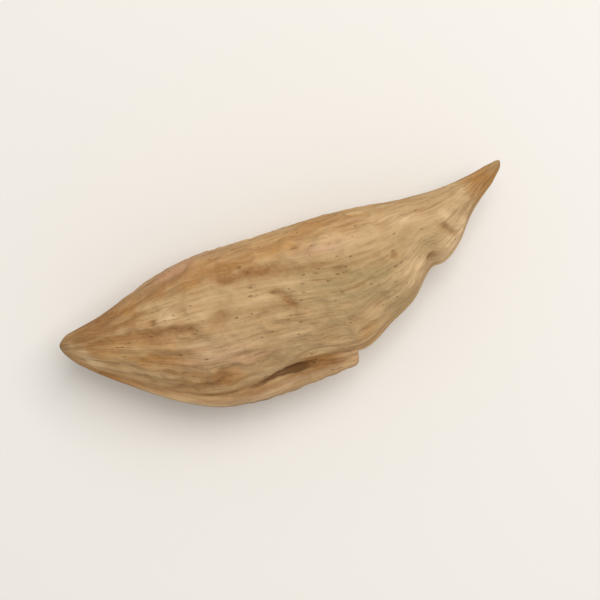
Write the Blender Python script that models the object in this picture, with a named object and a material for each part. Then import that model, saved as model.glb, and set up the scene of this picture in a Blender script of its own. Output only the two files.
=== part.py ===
"""One almond in its shell, lying on its cheek: a single solid with its furrows, raised net and split edge.

The shape is worked out in millimetres and turned into metres in the last step. X runs from the pointed apex
to the stem end, +Y is the back edge, -Y is the keel edge where the shell has split, and +Z is up.
"""
import math

import bpy
import bmesh
import numpy as np
from mathutils import Vector, noise

MM = 0.001

# Driving sizes, in millimetres
LENGTH = 40.0               # apex to the tip of the stem beak
UPPER_CHEEK = 5.5           # greatest height of the upper cheek over the seam
LOWER_CHEEK = 5.2           # greatest depth of the lower cheek under the seam
APEX_RADIUS = 1.1           # rounding of the apex in plan
BEAK_RADIUS = 0.5           # rounding of the beak in plan
REST_DEPTH = 0.26           # how much of the lower cheek is worn flat where the nut rests
REST_PLACE = (17.8, -3.5)   # where it rests, in plan, under its weight
REST_REACH = 3.6            # the relief of the lower cheek fades out within this distance of it
SMALLEST_WIDTH = 0.001      # keeps the two tips from dividing by nothing

# Mesh: sides round the section, and sections along the nut
SIDES = 72
SECTIONS = 77
END_CROWDING = 0.35         # how much closer the sections stand near both ends
LIP_SHARE = 7 / 36          # share of the sides that go round the lip

# Outlines in plan, as (distance from the apex, place across)
BACK_EDGE = (
    (0, 0.7), (4, 1.15), (9.5, 2.2), (13.5, 2.5), (19, 2.1), (25, 1.3), (31, 0.2), (37, -0.3), (40, 0.15),
)
VALVE_EDGE = (
    (0, -0.7), (1.2, -2.0), (4, -4.5), (7, -6.9), (10, -8.6), (13.5, -9.3), (18, -9.25), (21.2, -9.6),
    (23.8, -9.85), (26.3, -8.8), (29, -7.6), (30.4, -6.4), (31.1, -5.9), (32.3, -5.85), (34.3, -4.7),
    (35.7, -3.2), (37.2, -2.05), (38.7, -1.15), (40, -0.3),
)
LIP_WIDTH = (
    (0, 0.0), (2, 0.35), (6, 0.75), (10, 1.1), (14, 1.5), (17.5, 1.85), (20, 1.75), (22.2, 1.4), (23, 1.3),
)
LIP_END = 22.75             # the lip stops here, at a rounded free end
LIP_END_RADIUS = 0.6
LIP_THICKNESS = 0.45        # half of the lip's thickness
LIP_ROUNDING = 0.45         # rounding of the lip's outer edge
SEAM_RIM = 0.22             # width of the fine rim that the seam has where there is no lip
LOWER_BULGE = ((0, 0.0), (8, 0.05), (12, 0.45), (16, 0.9), (19, 0.9), (21.3, 0.4), (22.9, 0.0), (40, 0.0))

# Thickness along the nut, as a share of each cheek's greatest height
CHEEK_PROFILE = (
    (0, 0.17), (2, 0.42), (6, 0.74), (12, 0.97), (17.5, 1.0), (24, 0.92), (29, 0.74), (33, 0.53), (36, 0.31),
    (38.5, 0.16), (40, 0.07),
)
BACK_FULLNESS = 0.5         # power of the cheek's curve at the back edge: half is an ellipse
KEEL_FULLNESS = 0.6         # at the keel it falls away more like a lens
CREST_SHIFT = 0.12          # the cheeks are highest this share of their half width nearer the back edge
SEAM_HEIGHT = ((0, 0.2), (10, 0.35), (19, -0.1), (26, 0.1), (34, -0.1), (40, -0.5))

# The split between the two halves, along the keel
SPLIT_LINE = (
    (0, -0.8), (4, -4.7), (7, -7.1), (10, -8.8), (13.5, -9.35), (15, -9.2), (17, -9.22), (18.2, -9.35),
    (19.5, -9.7), (21, -10.15), (22.7, -10.3), (24, -10.3), (40, -10.3),
)
SPLIT_DEPTH = (
    (0, 0.0), (4, 0.12), (13, 0.2), (15, 0.5), (16.6, 0.9), (17.6, 1.3), (18.7, 0.8), (19.6, 0.6), (21, 0.45),
    (22.7, 0.35), (23.4, 0.0), (40, 0.0),
)
SPLIT_HALF_WIDTH = 0.34

# Furrows, as (path in plan, half width, depth)
UPPER_FURROWS = (
    (((13.8, 0.3), (16, -0.5), (18.5, -1.25), (21.5, -2.1), (24.5, -2.8), (26.5, -3.2)), 0.62, 0.4),
    (((2.0, -0.5), (4.5, -1.1), (7.5, -1.75)), 0.42, 0.4),
    (((6.5, -1.9), (9, -2.5), (12.2, -3.5)), 0.48, 0.4),
    (((2.8, 0.2), (6, 0.6), (10, 1.0)), 0.45, 0.26),
    (((2.2, -1.7), (4.2, -3.2), (6, -4.3)), 0.4, 0.3),
    (((4.5, -4.4), (6.5, -5.3), (8.6, -5.7)), 0.42, 0.32),
    (((7, -6.4), (9.2, -7.2), (12.6, -7.9)), 0.48, 0.42),
    (((8.5, -8.0), (10.8, -8.8), (14.6, -9.2)), 0.4, 0.3),
    (((4.6, -2.6), (8, -4.3), (11.5, -5.4)), 0.46, 0.26),
    (((17.9, -2.75), (18.6, -2.85), (19.1, -3.5), (19.5, -4.4), (19.9, -5.3)), 0.44, 0.42),
    (((21, -7.6), (24, -7.4), (27, -6.6)), 0.55, 0.24),
    (((16, 1.3), (20, 1.0), (24, 0.2)), 0.5, 0.2),
    (((32.9, -2.7), (33.6, -3.0), (33.8, -3.6), (33.3, -4.3), (32.5, -4.8)), 0.42, 0.4),
    (((32.0, -4.9), (31.4, -5.3), (31.3, -6.1)), 0.4, 0.36),
)
LOWER_FURROWS = (
    (((2, -0.6), (6, -0.8), (11, -1.3), (16, -2.1)), 0.55, 0.46),
    (((3, -2.0), (7, -3.9), (12, -5.4), (17, -6.3)), 0.55, 0.46),
    (((4, -4.3), (8, -6.6), (12, -8.0), (17, -8.5)), 0.5, 0.44),
    (((9, 1.2), (14, 1.4), (19, 0.9)), 0.5, 0.3),
    (((19, -3.6), (24, -3.7), (29, -3.2)), 0.65, 0.42),
    (((22, -6.9), (26, -6.2), (30, -5.1)), 0.55, 0.34),
    (((21, -0.2), (26, -0.6), (31, -1.1)), 0.55, 0.3),
)
FURROW_FADE = 1.6           # length over which a furrow runs out at its ends
FURROW_ENDS = 0.25          # share of its depth that it has at the very ends

# The collar round the stem end
COLLAR_PATH = ((35.1, -0.2), (35.7, -1.6), (35.2, -3.4), (34.2, -4.8), (32.3, -6.0))
COLLAR_HALF_WIDTH = 0.55
COLLAR_HEIGHT = 0.36
COLLAR_ENDS = 0.4           # share of its height that the bead has at its ends

# Pits, as (distance from the apex, place across, radius, depth)
UPPER_PITS = (
    (8.4, -1.2, 0.6, 0.4), (24.0, -3.4, 0.65, 0.3), (28.5, -3.9, 0.6, 0.24), (13.6, -2.8, 0.9, 0.24),
)
LOWER_PITS = (
    (10.5, -3.1, 0.7, 0.36), (15.5, -4.2, 0.6, 0.3), (21.5, -5.1, 0.7, 0.36), (26.0, -2.0, 0.6, 0.3),
)

# Raised net and slow swells of the cheeks
NET_CELL = (3.0, 1.9, 2.2)  # size of one mesh of the net along, across and up
NET_HEIGHT = 0.34
NET_RIDGE = 0.32            # how wide the ridges are, as a share of a cell
NET_LEVEL = 0.4             # the share of a ridge's height that lies under the smooth surface
NET_FROM = (4.0, 9.0)       # the net grows in between these distances from the apex
NET_TO = (29.0, 34.0)       # and it fades out between these
SWELL_SIZE = 6.5
SWELL_HEIGHT = 0.2
STREAKS_ROUND = 5.5         # how fine the streaks that fan out from the apex are
STREAK_LENGTH = 7.0         # how long they are
STREAK_HEIGHT = 0.22
STREAK_REACH = 17.0         # they fade out at this distance from the apex
NOISE_ORIGIN = Vector((3.7, 11.3, 5.9))

# Finish
SHELL_COLOUR = (0.45, 0.29, 0.135, 1.0)
SHELL_ROUGHNESS = 0.82


def clear_scene():
    """Remove every object, so that the model starts from nothing."""
    for item in list(bpy.data.objects):
        bpy.data.objects.remove(item, do_unlink=True)


def smooth_curve(points, at):
    """Read a smooth curve through the points at each of the given distances."""
    known, value = np.array(points, dtype=float).T
    slope = np.gradient(value, known)
    left = np.clip(np.searchsorted(known, at) - 1, 0, len(known) - 2)
    step = known[left + 1] - known[left]
    t = np.clip((at - known[left]) / step, 0.0, 1.0)
    rise = value[left] * (1 + 2 * t) * (1 - t) ** 2 + value[left + 1] * t * t * (3 - 2 * t)
    return rise + step * (slope[left] * t * (1 - t) ** 2 - slope[left + 1] * t * t * (1 - t))


def ease(low, high, value):
    """Go smoothly from 0 at low to 1 at high."""
    t = np.clip((value - low) / (high - low), 0.0, 1.0)
    return t * t * (3 - 2 * t)


def quarter_round(distance, radius):
    """Rise from 0 at the end to 1 at one radius from it, along a quarter circle."""
    share = np.clip(distance / radius, 0.0, 1.0)
    return np.sqrt(1 - (1 - share) ** 2)


def smooth_larger(first, second, blend=0.12):
    """Take the larger of two heights, with a small fillet where they cross."""
    return 0.5 * (first + second + np.sqrt((first - second) ** 2 + blend ** 2) - blend)


def distance_to_path(along, across, path):
    """Give each point's distance to a path, and how far from the path's nearer end it lies."""
    corners = np.array(path, dtype=float)
    lengths = np.hypot(*np.diff(corners, axis=0).T)
    starts = np.concatenate(([0.0], np.cumsum(lengths)))
    best = np.full(along.shape, np.inf)
    place = np.zeros(along.shape)
    for index, length in enumerate(lengths):
        start = corners[index]
        direction = (corners[index + 1] - start) / length
        run = np.clip((along - start[0]) * direction[0] + (across - start[1]) * direction[1], 0.0, length)
        gap = np.hypot(along - start[0] - run * direction[0], across - start[1] - run * direction[1])
        nearer = gap < best
        best = np.where(nearer, gap, best)
        place = np.where(nearer, starts[index] + run, place)
    return best, np.minimum(place, starts[-1] - place)


def plan_limits(along):
    """Give the back edge, the upper valve's edge and the lip's width at each distance from the apex."""
    middle = 0.5 * (smooth_curve(BACK_EDGE, along) + smooth_curve(VALVE_EDGE, along))
    rounding = quarter_round(along, APEX_RADIUS) * quarter_round(LENGTH - along, BEAK_RADIUS)
    back = middle + (smooth_curve(BACK_EDGE, along) - middle) * rounding
    edge = middle + (smooth_curve(VALVE_EDGE, along) - middle) * rounding
    lip = smooth_curve(LIP_WIDTH, np.minimum(along, LIP_END)) * quarter_round(LIP_END - along, LIP_END_RADIUS)
    return back, edge, np.maximum(lip, SEAM_RIM) * rounding


def cheek_height(across, edge, back, height):
    """Height of a cheek over the seam: an ellipse at the back that turns into a lens at the keel."""
    side = (2 * across - edge - back) / np.maximum(back - edge, SMALLEST_WIDTH)
    side = side - CREST_SHIFT * (1 - side * side)
    power = KEEL_FULLNESS + (BACK_FULLNESS - KEEL_FULLNESS) * ease(-1.0, 0.4, side)
    return height * np.clip(1 - side * side, 0.0, 1.0) ** power


def lip_height(across, outer, lip):
    """Half thickness of the lip, with its outer edge rounded."""
    return LIP_THICKNESS * quarter_round(across - outer, LIP_ROUNDING) * ease(-0.1, 0.7, lip)


def place_across(turn, back, edge, lip):
    """Give the place across for each turn: over the body first, then out over the lip to its outer edge."""
    share = np.abs(turn) / math.pi
    body = np.clip(share / (1 - LIP_SHARE), 0.0, 1.0)
    over_lip = np.clip((share - 1 + LIP_SHARE) / LIP_SHARE, 0.0, 1.0)
    over_body = 0.5 * (back + edge) + 0.5 * (back - edge) * np.cos(math.pi * body)
    return over_body - lip * np.sin(0.5 * math.pi * over_lip)


def plain_form(along, turn):
    """Place each point of the smooth nut from its distance along and its turn round the section.

    A turn of 0 is the back edge, half a turn is the keel, and positive turns are on the upper cheek.
    """
    back, edge, lip = plan_limits(along)
    outer = edge - lip
    across = place_across(turn, back, edge, lip)
    rounding = quarter_round(along, APEX_RADIUS) * quarter_round(LENGTH - along, BEAK_RADIUS)
    thickness = smooth_curve(CHEEK_PROFILE, along) * rounding
    upper = cheek_height(across, edge, back, UPPER_CHEEK * thickness)
    lower = cheek_height(across, edge - smooth_curve(LOWER_BULGE, along), back, LOWER_CHEEK * thickness)
    rim = lip_height(across, outer, lip)
    from_line = (across - smooth_curve(SPLIT_LINE, along)) / SPLIT_HALF_WIDTH
    split = smooth_curve(SPLIT_DEPTH, along) * np.exp(-from_line ** 4)
    above = smooth_larger(upper, rim) - split * ease(0.0, 0.5, lip)
    height = np.where(turn >= 0, above, -smooth_larger(lower, rim))
    edges = ease(0.0, 0.06, np.minimum(across - outer, back - across))
    return np.stack((along, across, smooth_curve(SEAM_HEIGHT, along) + height * edges), axis=1)


def furrow_relief(along, across, furrows):
    """Depth of the furrows at each point, below zero."""
    relief = np.zeros(along.shape)
    for path, half_width, depth in furrows:
        gap, to_end = distance_to_path(along, across, path)
        ends = FURROW_ENDS + (1 - FURROW_ENDS) * ease(0.0, FURROW_FADE, to_end)
        relief -= depth * np.exp(-((gap / half_width) ** 2)) * ends
    return relief


def pit_relief(along, across, pits):
    """Depth of the single pits at each point, below zero."""
    relief = np.zeros(along.shape)
    for place, side, radius, depth in pits:
        relief -= depth * np.exp(-((along - place) ** 2 + (across - side) ** 2) / radius ** 2)
    return relief


def collar_relief(along, across):
    """Raised bead of the collar round the stem end."""
    gap, to_end = distance_to_path(along, across, COLLAR_PATH)
    ends = COLLAR_ENDS + (1 - COLLAR_ENDS) * ease(0.0, FURROW_FADE, to_end)
    return COLLAR_HEIGHT * np.exp(-((gap / COLLAR_HALF_WIDTH) ** 2)) * ends


def net_relief(points):
    """Raised net: ridges where two cells meet, only over the middle of the cheeks."""
    heights = []
    for x, y, z in points:
        place = Vector((x / NET_CELL[0], y / NET_CELL[1], z / NET_CELL[2])) + NOISE_ORIGIN
        nearest = noise.voronoi(place)[0]
        heights.append(math.exp(-(((nearest[1] - nearest[0]) / NET_RIDGE) ** 2)))
    reach = ease(*NET_FROM, points[:, 0]) * (1 - ease(*NET_TO, points[:, 0]))
    return NET_HEIGHT * (np.array(heights) - NET_LEVEL) * reach


def swell_relief(points):
    """Slow rises and hollows of the whole surface."""
    heights = [noise.noise(Vector(point) / SWELL_SIZE + NOISE_ORIGIN) for point in points]
    return SWELL_HEIGHT * np.array(heights)


def streak_relief(along, turn):
    """Fine streaks that fan out from the apex and run along the nut."""
    heights = []
    for distance, angle in zip(along, turn):
        round_section = Vector((math.cos(angle), math.sin(angle), 0.0)) * STREAKS_ROUND
        place = round_section + Vector((0.0, 0.0, distance / STREAK_LENGTH)) + NOISE_ORIGIN
        heights.append(noise.noise(place))
    return STREAK_HEIGHT * np.array(heights) * (1 - ease(0.5 * STREAK_REACH, STREAK_REACH, along))


def relief(points, turn):
    """All the relief together, along the surface's normal."""
    along, across = points[:, 0], points[:, 1]
    on_top = turn >= 0
    carved = np.where(
        on_top,
        furrow_relief(along, across, UPPER_FURROWS) + pit_relief(along, across, UPPER_PITS),
        furrow_relief(along, across, LOWER_FURROWS) + pit_relief(along, across, LOWER_PITS),
    )
    back, edge, lip = plan_limits(along)
    inside = ease(0.0, 0.8, np.minimum(across - edge, back - across))
    tips = ease(0.3, 2.0, along) * ease(0.2, 1.5, LENGTH - along)
    grown = collar_relief(along, across) + net_relief(points) + streak_relief(along, turn)
    to_rest = np.hypot(along - REST_PLACE[0], across - REST_PLACE[1])
    worn = np.where(on_top, 1.0, ease(0.4 * REST_REACH, REST_REACH, to_rest))
    return (carved + grown) * inside * tips * worn + swell_relief(points) * tips


def rest_on_cheek(points):
    """Wear the lowest part of the cheek flat, then put that face at height 0 and centre the nut over it."""
    rest = points[:, 2].min() + REST_DEPTH
    points[:, 2] = np.maximum(points[:, 2], rest) - rest
    points[:, :2] -= 0.5 * (points[:, :2].max(axis=0) + points[:, :2].min(axis=0))
    return points


def read_mesh(mesh, attribute):
    """Read every vertex's place or normal as rows of three."""
    values = np.empty(3 * len(mesh.vertices))
    mesh.vertices.foreach_get(attribute, values)
    return values.reshape(-1, 3)


def ball(name):
    """A ball of radius 1 with its poles on Z, whose rings become the nut's sections."""
    mesh = bpy.data.meshes.new(name)
    shape = bmesh.new()
    bmesh.ops.create_uvsphere(shape, u_segments=SIDES, v_segments=SECTIONS, radius=1.0)
    shape.to_mesh(mesh)
    shape.free()
    return mesh


def face_outwards(mesh):
    """Point every face outwards after the ball has been reshaped."""
    shape = bmesh.new()
    shape.from_mesh(mesh)
    bmesh.ops.recalc_face_normals(shape, faces=shape.faces)
    shape.to_mesh(mesh)
    shape.free()
    mesh.update()


def shell_material():
    """Dry, dull, straw-coloured shell."""
    material = bpy.data.materials.new("almond_shell")
    material.use_nodes = True
    shader = material.node_tree.nodes["Principled BSDF"]
    shader.inputs["Base Color"].default_value = SHELL_COLOUR
    shader.inputs["Roughness"].default_value = SHELL_ROUGHNESS
    shader.inputs["Metallic"].default_value = 0.0
    return material


def almond():
    """Shape the ball into the nut, carve its relief and set it on its cheek."""
    mesh = ball("almond")
    start = read_mesh(mesh, "co")
    share = np.arccos(np.clip(start[:, 2], -1.0, 1.0)) / math.pi
    turn = np.arctan2(start[:, 1], start[:, 0])
    along = LENGTH * (share - END_CROWDING * np.sin(2 * math.pi * share) / (2 * math.pi))
    points = plain_form(along, turn)
    mesh.vertices.foreach_set("co", points.ravel())
    face_outwards(mesh)
    points = points + relief(points, turn)[:, None] * read_mesh(mesh, "normal")
    mesh.vertices.foreach_set("co", (rest_on_cheek(points) * MM).ravel())
    mesh.update()
    mesh.shade_smooth()
    mesh.materials.append(shell_material())
    nut = bpy.data.objects.new("almond", mesh)
    bpy.context.scene.collection.objects.link(nut)
    return nut


clear_scene()
almond()
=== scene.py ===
"""One almond in its shell, lying on its cheek on a pale floor and seen from straight above.

The nut's form is worked out in millimetres in its own axes: the distance from the pointed apex to the stem
end, the place across from the keel (low) to the back edge (high), and the height over the seam. It is then
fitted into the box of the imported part, in metres.
"""
import logging
import math
from dataclasses import dataclass, field
from enum import Enum

import bpy
import numpy as np
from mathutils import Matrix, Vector, noise


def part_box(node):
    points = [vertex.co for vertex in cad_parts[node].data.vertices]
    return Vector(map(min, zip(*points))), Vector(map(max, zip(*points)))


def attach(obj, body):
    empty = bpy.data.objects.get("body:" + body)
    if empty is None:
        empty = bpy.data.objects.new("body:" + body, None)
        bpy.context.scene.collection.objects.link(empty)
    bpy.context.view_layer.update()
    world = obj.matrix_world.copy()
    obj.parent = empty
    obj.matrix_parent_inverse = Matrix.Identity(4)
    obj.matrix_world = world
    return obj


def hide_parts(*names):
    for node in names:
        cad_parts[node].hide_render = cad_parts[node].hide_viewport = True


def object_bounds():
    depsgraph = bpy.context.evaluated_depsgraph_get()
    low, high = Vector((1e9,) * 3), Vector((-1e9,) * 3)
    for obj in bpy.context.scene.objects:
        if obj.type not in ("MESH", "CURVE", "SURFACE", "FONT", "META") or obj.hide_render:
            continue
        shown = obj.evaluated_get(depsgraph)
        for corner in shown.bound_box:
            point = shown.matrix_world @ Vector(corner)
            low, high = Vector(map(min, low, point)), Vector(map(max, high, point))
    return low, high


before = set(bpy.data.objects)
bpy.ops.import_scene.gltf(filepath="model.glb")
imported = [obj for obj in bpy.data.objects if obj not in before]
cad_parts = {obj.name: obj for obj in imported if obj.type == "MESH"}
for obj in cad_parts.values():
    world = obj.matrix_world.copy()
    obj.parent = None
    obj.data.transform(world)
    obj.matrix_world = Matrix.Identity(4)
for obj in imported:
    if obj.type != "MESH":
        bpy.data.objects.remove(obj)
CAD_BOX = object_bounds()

LOG = logging.getLogger("almond")
NODE = "almond"
BODY = "root"
NOISE_ORIGIN = Vector((3.7, 11.3, 5.9))
Path = tuple[tuple[float, float], ...]
Colour = tuple[float, float, float, float]
Span = tuple[float, float, float, float]
Pair = tuple[float, float]
Triple = tuple[float, float, float]
Array = np.ndarray
Socket = bpy.types.NodeSocket


class Cheek(Enum):
    """The two halves of the shell, by the side that they face."""

    UPPER = "upper"
    LOWER = "lower"


class Tint(Enum):
    """The stains on the shell, each also the name of the mesh's attribute that says how strong it is. A few
    pale and cream patches are painted highlights, and one brown patch is partly painted shadow.
    """

    OLIVE = "olive_stain"
    ROSE = "rose_stain"
    ORANGE = "orange_stain"
    BROWN = "brown_stain_and_shadow"
    PALE = "pale_stain_and_highlight"
    CREAM = "cream_stain_and_highlight"


class Shift(float, Enum):
    """How far each layer of noise is shifted, so that no two match."""

    PLAIN = 0.0
    STRANDS = 3.0
    SPLIT_LINE = 5.0
    SPLIT_WIDTH = 9.0
    SMALL_NET = 13.0
    PORES = 19.0
    BEND_ALONG = 21.0
    LIP = 27.0
    BEND_ACROSS = 33.0
    FIBRES = 41.0
    ROUGHNESS = 55.0
    STAINS = 60.0
    BANDS = 71.0


def seen_colour(red: int, green: int, blue: int) -> Colour:
    """Turn a colour as the eye sees it, 0 to 255, into the linear one that shaders use.

    Args:
        red: Red as seen.
        green: Green as seen.
        blue: Blue as seen.

    Returns:
        The linear colour with full alpha.
    """
    seen = np.array((red, green, blue)) / 255.0
    linear = np.where(seen <= 0.04045, seen / 12.92, ((seen + 0.055) / 1.055) ** 2.4)
    return (*(float(value) for value in linear), 1.0)


def ease(low: float, high: float, value: Array) -> Array:
    """Go smoothly from 0 at low to 1 at high."""
    t = np.clip((value - low) / (high - low), 0.0, 1.0)
    return t * t * (3 - 2 * t)


def hump(value: Array, start: float, rise: float, fall: float, end: float) -> Array:
    """Rise from 0 to 1 between start and rise, and go back to 0 between fall and end."""
    return ease(start, rise, value) * (1 - ease(fall, end, value))


def quarter_round(distance: Array, radius: float) -> Array:
    """Rise from 0 at the end to 1 at one radius from it, along a quarter circle."""
    share = np.clip(distance / radius, 0.0, 1.0)
    return np.sqrt(1 - (1 - share) ** 2)


def smooth_larger(first: Array, second: Array, blend: float = 0.12) -> Array:
    """Take the larger of two heights, with a small fillet where they cross."""
    return 0.5 * (first + second + np.sqrt((first - second) ** 2 + blend**2) - blend)


def soft_noise(points: Array, octaves: int = 1, shift: float = Shift.PLAIN) -> Array:
    """Read smooth noise, about -1 to 1, at each point.

    Args:
        points: Places, one row each, in cells of the noise.
        octaves: How many finer layers are added on top of the first.
        shift: Moves the pattern, so that two layers don't match.

    Returns:
        One value for each point.
    """
    origin = NOISE_ORIGIN + Vector((shift, 2 * shift, 3 * shift))
    if octaves == 1:
        values = (noise.noise(Vector(point) + origin) for point in points)
    else:
        values = (noise.fractal(Vector(point) + origin, 0.9, 2.1, octaves) for point in points)
    return np.fromiter(values, float, len(points))


def cells(points: Array, shift: float = Shift.PLAIN) -> tuple[Array, Array, Array]:
    """Sort each point into cells.

    Args:
        points: Places, one row each, in cells.
        shift: Moves the pattern.

    Returns:
        The distances to the nearest and to the second nearest cell, and a random share for the nearest one.
    """
    origin = NOISE_ORIGIN + Vector((shift, 2 * shift, 3 * shift))
    found = [noise.voronoi(Vector(point) + origin) for point in points]
    nearest = np.array([distances[0] for distances, _ in found])
    second = np.array([distances[1] for distances, _ in found])
    draw = np.array([0.5 + 0.5 * noise.cell(places[0] * 7.31) for _, places in found])
    return nearest, second, draw


@dataclass(frozen=True)
class Curve:
    """A smooth curve through a few points, read by its first coordinate."""

    points: Path

    def at(self, along: Array) -> Array:
        """Read the curve at each distance.

        Args:
            along: Distances from the apex.

        Returns:
            The curve's value at each of them.
        """
        known, value = np.array(self.points, dtype=float).T
        slope = np.gradient(value, known)
        left = np.clip(np.searchsorted(known, along) - 1, 0, len(known) - 2)
        step = known[left + 1] - known[left]
        t = np.clip((along - known[left]) / step, 0.0, 1.0)
        rise = value[left] * (1 + 2 * t) * (1 - t) ** 2 + value[left + 1] * t * t * (3 - 2 * t)
        return rise + step * (slope[left] * t * (1 - t) ** 2 - slope[left + 1] * t * t * (1 - t))


@dataclass(frozen=True)
class Furrow:
    """A groove along a path in plan, which runs out at its ends."""

    path: Path
    half_width: float
    depth: float
    fade: float = 1.6

    def strength(self, along: Array, across: Array, uneven: Array) -> Array:
        """Give how strongly each point lies in the groove, from 0 to 1.

        Args:
            along: Distances from the apex.
            across: Places across.
            uneven: Noise, about -1 to 1, that widens and deepens the groove here and narrows it there.

        Returns:
            1 in the middle of the groove and 0 away from it.
        """
        corners = np.array(self.path, dtype=float)
        lengths = np.hypot(*np.diff(corners, axis=0).T)
        starts = np.concatenate(([0.0], np.cumsum(lengths)))
        best = np.full(along.shape, np.inf)
        place = np.zeros(along.shape)
        for start, corner, length, first in zip(corners, corners[1:], lengths, starts):
            direction = (corner - start) / length
            run = np.clip((along - start[0]) * direction[0] + (across - start[1]) * direction[1], 0.0, length)
            gap = np.hypot(along - start[0] - run * direction[0], across - start[1] - run * direction[1])
            nearer = gap < best
            best = np.where(nearer, gap, best)
            place = np.where(nearer, first + run, place)
        to_end = np.minimum(place, starts[-1] - place)
        width = self.half_width * np.clip(1 + 0.55 * uneven, 0.35, 1.8)
        ends = 0.1 + 0.9 * ease(0.0, self.fade, to_end)
        return np.exp(-((best / width) ** 2)) * ends * np.clip(1 + 0.7 * uneven, 0.3, 1.5)


@dataclass(frozen=True)
class Pit:
    """A single round hollow."""

    along: float
    across: float
    radius: float
    depth: float

    def strength(self, along: Array, across: Array, uneven: Array) -> Array:
        """Give how strongly each point lies in the pit, from 0 to 1, with its rim made uneven by noise."""
        radius = self.radius * np.clip(1 + 0.6 * uneven, 0.4, 1.8)
        return np.exp(-((along - self.along) ** 2 + (across - self.across) ** 2) / radius**2)


@dataclass(frozen=True)
class Stain:
    """A soft oval patch of colour on the upper cheek."""

    along: float
    across: float
    reach: float
    width: float
    tilt: float = 0.0
    strength: float = 0.7

    def cover(self, along: Array, across: Array) -> Array:
        """Give how strongly the patch covers each point, from 0 to 1.

        Args:
            along: Distances from the apex.
            across: Places across.

        Returns:
            The patch's strength in its middle, and less and less away from it.
        """
        angle = math.radians(self.tilt)
        run = (along - self.along) * math.cos(angle) + (across - self.across) * math.sin(angle)
        side = (across - self.across) * math.cos(angle) - (along - self.along) * math.sin(angle)
        return self.strength * np.exp(-((run / self.reach) ** 2) - (side / self.width) ** 2)


def patches(*rows: tuple[float, ...]) -> tuple[Stain, ...]:
    """Make a stain from each row of its place along and across, reach, width, tilt and strength."""
    return tuple(Stain(*row) for row in rows)


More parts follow.
